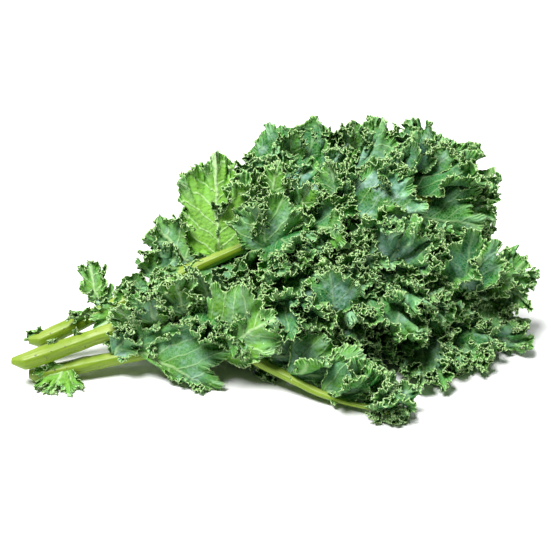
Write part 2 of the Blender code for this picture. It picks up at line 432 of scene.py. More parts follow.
    def place(self, along: Array, out: Array) -> tuple[Array, Array]:
        """The finished surface, with the edge's teeth.

        Args:
            along: The places along the edge, -1 to 1.
            out: How far out they are, 0 to 1.

        Returns:
            Where they are, and how far each is up a ruffle's crest.
        """
        out = out + self.look_up(along, self.teeth)[0] * ramp(out, TOOTH_START, 1.0)
        row = np.interp(out, ROWS, np.arange(len(ROWS)))
        column = (along + 1) / 2 * (COLUMNS - 1)
        low, left = np.minimum(row.astype(int), len(ROWS) - 2), np.minimum(column.astype(int), COLUMNS - 2)
        up, right = (row - low)[:, None], (column - left)[:, None]
        near = self.sheet[low, left] * (1 - right) + self.sheet[low, left + 1] * right
        far = self.sheet[low + 1, left] * (1 - right) + self.sheet[low + 1, left + 1] * right
        return near * (1 - up) + far * up, self.crest[low, left]


def corner_places(mesh: Mesh) -> Array:
    """Where a mesh's corners are.

    Args:
        mesh: The mesh.

    Returns:
        A row for each corner.
    """
    spots = np.zeros(len(mesh.vertices) * 3)
    mesh.vertices.foreach_get("co", spots)
    return spots.reshape(-1, 3)


@dataclass
class CentreLine:
    """The line of a stem and midrib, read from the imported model."""

    points: Array
    radii: Array

    @classmethod
    def of_node(cls, node: Piece, stations: int = 40, margin: float = 0.001) -> "CentreLine":
        """Finds the line by slicing the stem across X.

        Args:
            node: The stem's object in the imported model.
            stations: How many slices.
            margin: How far the first and the last are from its ends.

        Returns:
            The line, from the cut end to the tip.
        """
        mesh = node.data
        spots = corner_places(mesh)
        ends = np.zeros(len(mesh.edges) * 2, int)
        mesh.edges.foreach_get("vertices", ends)
        first, last = spots[ends[0::2]], spots[ends[1::2]]
        low, high = spots[:, 0].min(), spots[:, 0].max()
        points, radii = [], []
        for x in np.linspace(low + margin, high - margin, stations):
            crossed = (first[:, 0] - x) * (last[:, 0] - x) < 0
            share = (x - first[crossed, 0]) / (last[crossed, 0] - first[crossed, 0])
            cut = first[crossed] + (last[crossed] - first[crossed]) * share[:, None]
            points.append((cut.min(0) + cut.max(0)) / 2)
            radii.append(np.ptp(cut[:, 1]) / 2)
        return cls(np.array(points), np.array(radii))

    def at(self, share: float) -> tuple[Array, Array, float]:
        """The point, the direction and the radius at a share of the way along.

        Args:
            share: From the cut end, 0 to 1.

        Returns:
            All three.
        """
        where = np.clip(share, 0, 1) * (len(self.points) - 1)
        index = int(min(where, len(self.points) - 2))
        rest = where - index
        point = self.points[index] * (1 - rest) + self.points[index + 1] * rest
        low, high = max(0, index - 1), min(len(self.points) - 1, index + 2)
        radius = float(np.interp(where, range(len(self.radii)), self.radii))
        return point, unit(self.points[high] - self.points[low]), radius


def finish_piece(mesh: Mesh, name: str, node: str, slot: str, dress: list[Material]) -> Piece:
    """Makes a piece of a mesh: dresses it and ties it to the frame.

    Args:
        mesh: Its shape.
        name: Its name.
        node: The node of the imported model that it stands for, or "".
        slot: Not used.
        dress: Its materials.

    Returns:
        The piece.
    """
    piece = linked(name, mesh)
    for finish in dress:
        mesh.materials.append(finish)
    mesh.shade_smooth()
    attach(piece, "root")
    if node:
        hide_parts(node)
    LOG.info("%s: %d faces", name, len(mesh.polygons))
    return piece


@dataclass
class Blade:
    """The lamina of one leaf: its lobes in one mesh."""

    name: str
    node: str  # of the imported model, that it stands for
    slot: str
    lobes: list[Lobe]
    dress: list[Material]

    def build(self) -> None:
        """Makes the piece."""
        grids = {detail: lobe_grid(detail) for detail in {lobe.detail for lobe in self.lobes}}
        form = bmesh.new()
        for lobe in self.lobes:
            form.from_mesh(grids[lobe.detail])
        mesh = mesh_of(form, self.name)
        self.shape(mesh, [len(grids[lobe.detail].vertices) for lobe in self.lobes])
        piece = finish_piece(mesh, self.name, self.node, self.slot, self.dress)
        solid = piece.modifiers.new("thickness", "SOLIDIFY")
        solid.thickness = LEAF_THICKNESS
        solid.offset = 0
        solid.use_even_offset = False

    def shape(self, mesh: Mesh, counts: list[int]) -> None:
        """Lays the flat grids on the lobes and stores what the finish reads at each corner.

        Args:
            mesh: The lobes' grids, one after another.
            counts: How many corners each of them has.
        """
        spots = corner_places(mesh)
        values = {name: np.zeros(len(spots)) for name in ("edge", "run", "tone", "bloom", "crest")}
        pattern = np.zeros((len(spots), 2))
        start = 0
        for lobe, count in zip(self.lobes, counts):
            part = slice(start, start + count)
            out = spots[part, 1].copy()
            along = lobe.spread(spots[part, 0], out)
            pattern[part] = lobe.flat(along, out) * PATTERN_UNITS
            reach, run = lobe.look_up(along, lobe.outline[0], lobe.run)
            values["edge"][part] = (1 - out) * reach * CENTIMETRES
            values["run"][part] = run * CENTIMETRES
            values["tone"][part] = lobe.tone
            values["bloom"][part] = lobe.bloom
            spots[part], crest = lobe.place(along, out)
            # the crest value, lowered towards the root for painted shade
            values["crest"][part] = crest - lobe.root_shade * (1 - out)
            start += count
        mesh.vertices.foreach_set("co", spots.ravel())
        corners = np.zeros(len(mesh.loops), int)
        mesh.loops.foreach_get("vertex_index", corners)
        mesh.uv_layers.new(name="pattern").uv.foreach_set("vector", pattern[corners].ravel())
        for name, numbers in values.items():
            mesh.attributes.new(name, "FLOAT", "POINT").data.foreach_set("value", numbers)
        mesh.update()


def off_top(angle: float) -> float:
    """How far an angle round a stem is from upright, in radians."""
    return abs(math.atan2(math.sin(angle - QUARTER), math.cos(angle - QUARTER)))


@dataclass
class Stem:
    """A stem that runs on as the midrib: ridged along, flattened on top and cut off square to the bunch."""

    number: int
    line: CentreLine
    stations: int
    shown: float  # how much of the line it covers
    dress: list[Material]  # its skin and its cut face
    sides: int = 32
    crowding: float = 1.5  # how much closer the rings are near the cut
    cut_rings: tuple[float, ...] = (0.08, 0.12, 0.30, 0.25)  # widths of the cut face's rings, from its rim
    cut_dome: float = 0.10  # how far the cut face stands out, as a share of the radius, as the next ones are
    flatness: float = 0.15
    edge: float = 0.07
    ridge: float = 0.022
    waver: float = 0.035
    band: float = math.radians(46)  # how far the flat top reaches to each side of upright
    ridges: int = 9
    scars: int = 7
    turned_rings: int = 12  # how many rings it takes from the square cut to rings square to the stem

    def section(self, angle: float, share: float) -> float:
        """The radius round the stem, against the stem's own, with its flat top, edges and ridges.

        Args:
            angle: Round the stem.
            share: Of the way along it.

        Returns:
            The radius, near 1.
        """
        off = off_top(angle)
        flat = self.flatness * math.exp(-(off / self.band) ** 4 / 0.6)
        edge = self.edge * math.exp(-((off - self.band) / 0.13) ** 2)
        ridge = self.ridge * math.cos(self.ridges * angle + 1.5 * math.sin(11 * share))
        return 1 - flat + edge + ridge

    def build(self) -> None:
        """Makes the piece."""
        form = self.tube()
        straight, band, core = self.bend(form)
        mesh = mesh_of(form, f"stem_{self.number}_skin")
        places = mesh.attributes.new("straight", "FLOAT_VECTOR", "POINT")
        places.data.foreach_set("vector", np.ravel(straight))
        mesh.attributes.new("band", "FLOAT", "POINT").data.foreach_set("value", band)
        mesh.attributes.new("core", "FLOAT", "POINT").data.foreach_set("value", core)
        finish_piece(mesh, mesh.name, f"stem_{self.number}", "stem", self.dress)

    def tube(self) -> bmesh.types.BMesh:
        """The stem before it is bent, with its cut face at z = 0.

        Returns:
            A closed tube of radius 1, whose rings are one apart in z.
        """
        form = bmesh.new()
        bmesh.ops.create_circle(form, cap_ends=True, segments=self.sides, radius=1.0)
        cap = list(form.faces)
        for width in self.cut_rings:
            bmesh.ops.inset_region(form, faces=cap, use_boundary=True, thickness=width)
        ring = [edge for edge in form.edges if edge.is_boundary]
        for _ in range(self.stations):
            made = bmesh.ops.extrude_edge_only(form, edges=ring)["geom"]
            ring = [part for part in made if isinstance(part, bmesh.types.BMEdge)
                    and all(vertex in made for vertex in part.verts)]
            corners = [part for part in made if isinstance(part, bmesh.types.BMVert)]
            bmesh.ops.translate(form, verts=corners, vec=(0, 0, 1))
        bmesh.ops.contextual_create(form, geom=ring)
        for face in form.faces:
            face.material_index = int(all(vertex.co.z < 0.5 for vertex in face.verts))
        bmesh.ops.recalc_face_normals(form, faces=form.faces)
        return form

    def bend(self, form: bmesh.types.BMesh) -> tuple[list, list, list]:
        """Lays the straight tube along the stem's line.

        Args:
            form: The tube.

        Returns:
            For each corner, its place on the straight stem, how far it is inside the flat top's band, and how
            far it is from the rim of the cut face.
        """
        rng = np.random.default_rng(40 + self.number)
        marks = [(rng.uniform(0.02, 0.32), rng.uniform(0.3, 2.8), rng.uniform(0.05, 0.11))
                 for _ in range(self.scars)]
        drift = Drift(60 + self.number, 14)
        reach = float(np.linalg.norm(np.diff(self.line.points, axis=0), axis=1).sum())
        straight, band, core = [], [], []
        for vertex in form.verts:
            ring = round(vertex.co.z)
            share = self.shown * (ring / self.stations) ** self.crowding
            angle, inside = math.atan2(vertex.co.y, vertex.co.x), math.hypot(vertex.co.x, vertex.co.y)
            centre, ahead, radius = self.line.at(share)
            side = unit(np.cross(ahead, UP))
            up = np.cross(side, ahead)
            waver = 1 + self.waver * float(drift(np.array([share]))[0])
            width = radius * self.section(angle, share) * waver
            for place, around, height in marks:
                gap = ((share - place) * reach / radius) ** 2 * 3 + (angle - around) ** 2 * 9
                width += radius * height * math.exp(-gap)
            width *= inside
            spot = side * math.cos(angle) * width + up * math.sin(angle) * width
            square = max(0.0, 1 - ring / self.turned_rings)
            spot = spot - ahead * (spot[0] / ahead[0]) * square
            dome = self.cut_dome * radius * (1 - inside ** 2) if ring == 0 else 0.0
            vertex.co = centre + spot - ahead * dome
            straight.append((math.cos(angle) * width, math.sin(angle) * width, share * reach))
            band.append(float(ramp(np.array([self.band - off_top(angle)]), -0.16, 0.10)[0]))
            core.append(1 - inside)
        return straight, band, core


def node_link(tree: bpy.types.NodeTree, kind: str, **inputs: object) -> bpy.types.Node:
    """Adds a node and fills its inputs.

    Args:
        tree: Where it goes.
        kind: The node's type.
        **inputs: Names, or i0, i1 and so on for places, of its inputs, with a value or an output to link.
            Names that start with set_ are the node's own settings.

    Returns:
        The node.
    """
    node = tree.nodes.new(kind)
    for key, value in inputs.items():
        if key.startswith("set_"):
            setattr(node, key[4:], value)
    for key, value in inputs.items():
        if key.startswith("set_"):
            continue
        numbered = key[0] == "i" and key[1:].isdigit()
        socket = node.inputs[int(key[1:]) if numbered else key.replace("_", " ")]
        if isinstance(value, Socket):
            tree.links.new(value, socket)
        else:
            socket.default_value = value
    return node


@dataclass
class Paint:
    """A material in the making, with the few kinds of node that the finishes are built of."""

    name: str
    roughness: float
    specular: float = 0.5

    def __post_init__(self) -> None:
        """Starts the material."""
        self.made = bpy.data.materials.new(self.name)
        self.made.use_nodes = True
        self.tree = self.made.node_tree
        self.shader = self.tree.nodes["Principled BSDF"]
        self.shader.inputs["Roughness"].default_value = self.roughness
        self.shader.inputs["Specular IOR Level"].default_value = self.specular

    def node(self, kind: str, **inputs: object) -> bpy.types.Node:
        """Adds a shader node."""
        return node_link(self.tree, "ShaderNode" + kind, **inputs)

    def place(self) -> Socket:
        """The place on the object."""
        return self.node("TexCoord").outputs["Object"]

    def attribute(self, name: str, output: str = "Fac") -> Socket:
        """What the mesh stores under this name."""
        return self.node("Attribute", set_attribute_name=name).outputs[output]

    def noise(self, place: Socket, scale: float, detail: float, roughness: float = 0.5) -> Socket:
        """Clouds of noise."""
        made = self.node("TexNoise", Vector=place, Scale=scale, Detail=detail, Roughness=roughness)
        return made.outputs["Fac"]

    def cells(self, place: Socket, scale: float, feature: str) -> Socket:
        """A net of cells: how far places are from the cells' middles or edges."""
        return self.node("TexVoronoi", set_feature=feature, Vector=place, Scale=scale).outputs[0]

    def remap(self, value: Socket, low: object, high: float, least: float = 0.0,
              most: object = 1.0) -> Socket:
        """A value brought from one range to another and held inside it."""
        return self.node("MapRange", Value=value, i1=low, i2=high, i3=least, i4=most).outputs[0]

    def sums(self, operation: str, first: object, second: object = 0.0, third: object = 0.0) -> Socket:
        """One sum."""
        return self.node("Math", set_operation=operation, i0=first, i1=second, i2=third).outputs[0]

    def product(self, first: Socket, second: object) -> Socket:
        """Two values multiplied."""
        return self.sums("MULTIPLY", first, second)

    def blend(self, share: Socket, first: object, last: object) -> Socket:
        """Mixes two colours.

        Args:
            share: How much of the last colour shows.
            first: A colour, or an output to link.
            last: The same.

        Returns:
            The mixed colour.
        """
        mix = self.node("Mix", set_data_type="RGBA", i0=share)
        for place, colour in ((6, first), (7, last)):
            if isinstance(colour, Socket):
                self.tree.links.new(colour, mix.inputs[place])
            else:
                mix.inputs[place].default_value = (*colour, 1)
        return mix.outputs[2]

    def colour(self, colour: Socket) -> None:
        """Gives the shader its colour."""
        self.tree.links.new(colour, self.shader.inputs["Base Color"])

    def relief(self, height: Socket, strength: float, depth: float) -> None:
        """Gives the shader its relief."""
        bump = self.node("Bump", Height=height, Strength=strength, Distance=depth)
        self.tree.links.new(bump.outputs["Normal"], self.shader.inputs["Normal"])


@dataclass(frozen=True)
class LeafFinish:
    """The skin of the blades: blue-green with a waxy bloom, pale veins, a brighter frilled edge, and painted
    highlights, sheen and shade on the ruffles.
    """

    name: str = "kale_leaf"
    roughness: float = 0.50
    specular: float = 0.05
    old: Colour = (0.010, 0.100, 0.012)  # where the tone is 0
    fresh: Colour = (0.260, 0.560, 0.060)  # where it is 1
    waxy: Colour = (0.105, 0.280, 0.195)  # in blotches where the bloom is
    sheen: Colour = (0.440, 0.610, 0.600)  # painted sheen: whitish highlight patches where the bloom is
    young: Colour = (0.120, 0.380, 0.025)  # near the edge
    crest: Colour = (0.370, 0.630, 0.400)  # painted highlight on the ruffles' crests
    painted_shade: Colour = (0.003, 0.125, 0.005)  # painted shade between the ruffles, between the pleats and towards the lobes' roots
    # painted highlight on the lit side of the fine pleats; their other side gets painted shade
    pleat_highlight: Colour = (0.370, 0.670, 0.210)
    vein: Colour = (0.540, 0.760, 0.370)
    net: Colour = (0.270, 0.500, 0.200)
    # a pale margin, partly the edge's own colour and partly a painted highlight, brightest where the pleats
    # are painted lit
    rim: Colour = (0.630, 0.850, 0.400)
    blotch_scale: float = 40.0  # of the waxy blotches, as the next ones are of the sheen and of fine flecks
    cloud_scale: float = 85.0
    fleck_scale: float = 140.0
    net_scale: float = 42.0  # cells of the net of fine veins to each unit of the flat pattern
    pleat_pace: float = 18.5  # radians of the fine pleats to each centimetre of the edge
    pleat_stray: float = 7.0  # radians that they stray

    def make(self) -> Material:
        """Builds the material, layer on layer of colour.

        Returns:
            The material.
        """
        paint = Paint(self.name, self.roughness, self.specular)
        edge, run, tone, bloom, crest = map(paint.attribute, ("edge", "run", "tone", "bloom", "crest"))
        place = paint.place()
        flat = paint.node("UVMap", set_uv_map="pattern").outputs["UV"]
        blotch = paint.noise(place, self.blotch_scale, 4.0, 0.6)
        cloud = paint.noise(place, self.cloud_scale, 4.0, 0.65)
        fleck = paint.noise(place, self.fleck_scale, 1.0)
        net = paint.cells(flat, self.net_scale, "DISTANCE_TO_EDGE")
        veins = self.vein_mask(paint, flat)
        turn = paint.sums("MULTIPLY_ADD", fleck, self.pleat_stray, paint.product(run, self.pleat_pace))
        near = paint.product(paint.remap(edge, 0.60, 0.12), paint.remap(blotch, 0.30, 0.55, 0.3))
        pleats = paint.product(paint.sums("SINE", turn), near)
        start = paint.remap(fleck, 0.36, 0.70, 0.03, 0.12)
        # how strong the rim is follows the pleats' painted light
        rim_highlight = paint.remap(pleats, -0.8, 0.4, 0.30, 0.95)
        layers = (
            (self.waxy, paint.product(paint.remap(blotch, 0.40, 0.60), bloom)),
            # painted sheen over the waxy bloom
            (self.sheen, paint.product(paint.remap(cloud, 0.48, 0.68, 0.0, 0.9), bloom)),
            (self.young, paint.remap(edge, 1.2, 0.1, 0.0, 0.65)),
            # painted highlight where the ruffles rise
            (self.crest, paint.remap(crest, 0.2, 1.5, 0.0, 0.55)),
            # painted shade in the ruffles' troughs and towards the lobes' roots
            (self.painted_shade, paint.remap(crest, 0.0, -1.5, 0.0, paint.remap(tone, 0.0, 1.0, 0.88, 0.25))),
            # painted highlight on the lit side of the fine pleats
            (self.pleat_highlight, paint.remap(pleats, 0.05, 0.8, 0.0, 0.60)),
            # painted shade on the other side of the fine pleats
            (self.painted_shade, paint.remap(pleats, -0.05, -0.8, 0.0, 0.5)),
            (self.vein, paint.product(veins, paint.remap(tone, 0.0, 1.0, 0.2))),
            (self.net, paint.remap(net, 0.12, 0.02, 0.0, 0.28)),
            # the pale rim: part real margin, part painted highlight
            (self.rim, paint.remap(edge, start, 0.0, 0.0, rim_highlight)),
        )
        body = paint.blend(tone, self.old, self.fresh)
        for colour, share in layers:
            body = paint.blend(share, body, colour)
        paint.colour(body)
        height = paint.sums("MULTIPLY_ADD", veins, 0.5, paint.cells(flat, self.net_scale, "SMOOTH_F1"))
        paint.relief(paint.sums("MULTIPLY_ADD", pleats, 0.8, height), 0.8, 0.0010)
        return paint.made

    def vein_mask(self, paint: Paint, flat: Socket) -> Socket:
        """Where the veins run: one along the middle of each lobe and side veins that leave it at a slant.

        Args:
            paint: The material.
            flat: The place on the lobe's flat pattern.

        Returns:
            A mask, 1 on a vein.
        """
        sums, product = paint.sums, paint.product
        warp = paint.node("TexNoise", Vector=flat, Scale=5.0, Detail=2.0).outputs["Color"]
        shift = paint.node("VectorMath", set_operation="MULTIPLY_ADD", i0=warp, i1=(0.08, 0.08, 0), i2=flat)
        parts = paint.node("SeparateXYZ", Vector=shift.outputs[0])
        ahead, aside = parts.outputs[0], sums("SUBTRACT", parts.outputs[1], 0.04)
        off = sums("ABSOLUTE", aside)
        middle = paint.remap(off, 0.016, 0.006)
        alternate = product(sums("SIGN", aside), 0.25)
        slant = sums("ADD", product(sums("SUBTRACT", ahead, product(off, 0.9)), 8.0), alternate)
        near = sums("ABSOLUTE", sums("SUBTRACT", sums("FRACT", slant), 0.5))
        return sums("MAXIMUM", middle, product(paint.remap(near, 0.09, 0.03), 0.7))


@dataclass(frozen=True)
class StemFinish:
    """The skin of the stems: lime green and streaked, with a paler flat top and a few brown specks."""

    name: str = "kale_stem"
    roughness: float = 0.38
    specular: float = 0.35
    side: tuple[Colour, Colour] = ((0.145, 0.250, 0.010), (0.260, 0.400, 0.026))  # off and on its streaks
    top: tuple[Colour, Colour] = ((0.200, 0.315, 0.024), (0.350, 0.440, 0.095))  # off and on pale patches
    speck: Colour = (0.100, 0.110, 0.030)
    streak_scale: float = 900.0
    stretch: float = 0.06  # of the streaks, along the stem
    patch_scale: float = 45.0
    speck_scale: float = 330.0

    def make(self) -> Material:
        """Builds the material.

        Returns:
            The material.
        """
        paint = Paint(self.name, self.roughness, self.specular)
        straight = paint.attribute("straight", "Vector")
        long = paint.node("VectorMath", set_operation="MULTIPLY", i0=straight, i1=(1, 1, self.stretch))
        streak = paint.noise(long.outputs[0], self.streak_scale, 3.0, 0.6)
        side = paint.blend(paint.remap(streak, 0.30, 0.72), *self.side)
        pale = paint.remap(paint.noise(straight, self.patch_scale, 3.0), 0.35, 0.70)
        top = paint.blend(pale, *self.top)
        skin = paint.blend(paint.attribute("band"), side, top)
        spot = paint.remap(paint.noise(straight, self.speck_scale, 1.0), 0.72, 0.78)
        paint.colour(paint.blend(spot, skin, self.speck))
        paint.relief(streak, 0.35, 0.0008)
        return paint.made


@dataclass(frozen=True)
class CutFinish:
    """The cut ends of the stems: a green skin round a pale, fibrous core with a few dried patches."""

    name: str = "kale_cut"
    roughness: float = 0.55
    core: tuple[Colour, Colour] = ((0.220, 0.330, 0.080), (0.400, 0.500, 0.180))  # off and on its fibres
    dried: Colour = (0.300, 0.270, 0.090)
    skin: Colour = (0.110, 0.240, 0.014)
    fibre_scale: float = 1300.0
    patch_scale: float = 260.0

    def make(self) -> Material:
        """Builds the material.

        Returns:
            The material.
        """
        paint = Paint(self.name, self.roughness)
        straight = paint.attribute("straight", "Vector")
        fibre = paint.cells(straight, self.fibre_scale, "F1")
        face = paint.blend(paint.remap(fibre, 0.55, 0.10), *self.core)
        patch = paint.remap(paint.noise(straight, self.patch_scale, 3.0), 0.50, 0.75, most=0.7)
        face = paint.blend(patch, face, self.dried)
        paint.colour(paint.blend(paint.remap(paint.attribute("core"), 0.16, 0.02), face, self.skin))
        paint.relief(fibre, 0.5, 0.0004)
        return paint.made


@dataclass(frozen=True)
class FloorFinish:
    """The studio floor: a matt white sweep, very faintly mottled."""

    name: str = "floor_white"
    roughness: float = 0.9
    shades: tuple[Colour, Colour] = ((0.93, 0.93, 0.93), (0.95, 0.95, 0.95))
    mottle_scale: float = 3.0

    def make(self) -> Material:
        """Builds the material.

        Returns:
            The material.
        """
        paint = Paint(self.name, self.roughness)
        paint.colour(paint.blend(paint.noise(paint.place(), self.mottle_scale, 2.0), *self.shades))
        return paint.made


@dataclass(frozen=True)
class Studio:
    """The pale floor, the soft lights and the camera."""

    floor_half: float = 6.0
    key: tuple[float, float, float] = (-0.5, -0.15, 1.5)  # the way to a sun
    key_power: float = 5.85
    key_spread: float = 0.5
    back: tuple[float, float, float] = (0.3, 1.0, 1.5)  # where a soft light is
    back_power: float = 11.0
    back_size: float = 1.0
    surround: float = 0.05  # how bright the white all round is, against how the camera sees it
    lens: float = 97.5  # in millimetres, as the next one is
    sensor: float = 36
    target: tuple[float, float, float] = (-0.0031, 0.0, 0.0469)
    distance: float = 1.2
    nearest: float = 0.01  # that the camera sees
    raised: float = math.radians(32)

    def build(self) -> None:
        """Makes all of it."""
        self.floor()
        self.world()
        self.lamp("key", "SUN", self.key, self.key_power, angle=self.key_spread)
        self.lamp("back", "AREA", self.back, self.back_power, size=self.back_size)
        self.camera()
        bpy.context.scene.view_settings.view_transform = "Standard"

    def lamp(self, name: str, kind: str, place: tuple, power: float, **softness: float) -> None:
        """Adds a light that is turned to the bunch.

        Args:
            name: Its name.
            kind: Its type.
            place: Where it is.
            power: How strong it is.
            **softness: The setting that softens its shadows.
        """
        light = bpy.data.lights.new(name, kind)
        light.energy = power
        for setting, value in softness.items():
            setattr(light, setting, value)
        lamp = linked(name, light)
        lamp.location = place
        lamp.rotation_euler = (-Vector(place)).to_track_quat("-Z", "Y").to_euler()

    def floor(self) -> None:
        """The floor, at the height that the bunch rests on."""
        form = bmesh.new()
        bmesh.ops.create_grid(form, x_segments=1, y_segments=1, size=self.floor_half)
        floor = linked("floor", mesh_of(form, "floor"))
        floor.data.materials.append(FloorFinish().make())

    def world(self) -> None:
        """A white surround that lights the bunch a little."""
        world = bpy.data.worlds.new("studio")
        bpy.context.scene.world = world
        world.use_nodes = True
        tree = world.node_tree
        seen = node_link(tree, "ShaderNodeLightPath").outputs["Is Camera Ray"]
        strength = node_link(tree, "ShaderNodeMapRange", Value=seen, i3=self.surround, i4=1.0).outputs[0]
        tree.nodes["Background"].inputs["Color"].default_value = (1, 1, 1, 1)
        tree.links.new(strength, tree.nodes["Background"].inputs["Strength"])

    def camera(self) -> None:
        """The camera, in front of the bunch and raised above it."""
        camera = bpy.data.cameras.new("camera")
        camera.lens = self.lens
        camera.sensor_width = self.sensor
        camera.clip_start = self.nearest
        eye = linked("camera", camera)
        target = Vector(self.target)
        eye.location = target + Vector((0, -math.cos(self.raised), math.sin(self.raised))) * self.distance
        eye.rotation_euler = (target - eye.location).to_track_quat("-Z", "Y").to_euler()
        bpy.context.scene.camera = eye


@dataclass(frozen=True)
class Row:
    """A row of lobes along one side of a midrib. Pairs are values at its first and last lobe."""

    hand: int  # -1 for the side at -Y, 1 for the side at +Y
    first: float  # where the first lobe is, as a share of the midrib
    last: float
    count: int
    lengths: tuple[float, float, float]  # of the first, middle and last lobes
    lift: tuple[float, float]  # degrees that they leave the midrib above level
    curl: float  # degrees that they bend down
    forward: tuple[float, float] = (25, 60)  # degrees that they lean towards the tip
    roll: float = 22
    tufts: int = 0  # how many small lobes stand on each
    detail: Detail = Detail.FINE
    waves: tuple[Wave, ...] = WAVES

    def lobes(self, line: CentreLine, seed: int) -> list[Lobe]:
        """The row's lobes.

        Args:
            line: The midrib.
            seed: What their randomness starts from.

        Returns:
            The lobes, from the stem to the tip.
        """
        rng = np.random.default_rng(seed)
        made = []
        for k in range(self.count):
            far = k / max(1, self.count - 1)
            point, ahead, radius = line.at(self.first + (self.last - self.first) * far)
            side = unit(np.array([-ahead[1], ahead[0], 0.0])) * self.hand
            lean = math.radians(np.interp(far, (0, 1), self.forward) + rng.uniform(-8, 8))
            level = side * math.cos(lean) + ahead * math.sin(lean)
            tilt = math.radians(np.interp(far, (0, 1), self.lift) + rng.uniform(-12, 12))
            outward = unit(level * math.cos(tilt) + UP * math.sin(tilt))
            roll = math.radians(-self.hand * self.roll + rng.uniform(-20, 20))
            top = turned(unit(np.cross(np.cross(outward, UP), outward)), outward, roll)
            length = float(np.interp(far, (0, 0.5, 1), self.lengths)) * rng.uniform(0.9, 1.1)
            root = point + side * radius * ROW_ROOT
            made.append(Lobe(root, outward, top, length, seed + 11 * k, waves=self.waves,
                             width=rng.uniform(0.9, 1.15), curl=self.curl + rng.uniform(-15, 15),
                             sweep=rng.uniform(-14, 14), twist=rng.uniform(-20, 20),
                             cup=rng.uniform(-0.3, 0.4), tone=rng.uniform(0.0, 0.4),
                             bloom=rng.uniform(0.35, 1.0), root_shade=ROW_ROOT_SHADE, detail=self.detail))
            made += made[-1].tufts(self.tufts)
        return made


@dataclass
class Fan(Shape):
    """One lobe, placed as given, with its face to the front."""

    share: float  # where it grows, as a share of the midrib
    angle: float  # degrees that its middle vein points, up from +X, seen from the front
    lean: float  # degrees that it comes forward
    length: float
    _: KW_ONLY
    roll: float = 0.0  # degrees that it is turned on its middle vein
    curl: float = 10.0
    turn_up: float = 40.0
    tone: float = 0.3
    stand: float = 0.0  # how far its root is in front of the midrib's line
    raised: float = 0.0  # how far its root is above the midrib's line
    tufts: int = 0

    def lobes(self, line: CentreLine, seed: int) -> list[Lobe]:
        """The lobe, with the small ones on its face.

        Args:
            line: The midrib.
            seed: What their randomness starts from.

        Returns:
            The lobes.
        """
        angle, lean = math.radians(self.angle), math.radians(self.lean)
        level = np.array([1.0, 0.0, 0.0]) * math.cos(angle) + RISING * math.sin(angle)
        outward = level * math.cos(lean) + FRONT * math.sin(lean)
        top = turned(FRONT * math.cos(lean) - level * math.sin(lean), outward, math.radians(self.roll))
        root = line.at(self.share)[0] + FRONT * self.stand + RISING * self.raised
        shape = {field.name: getattr(self, field.name) for field in fields(Shape)}
        made = Lobe(root, outward, top, self.length, seed, **shape)
        return [made, *made.tufts(self.tufts)]


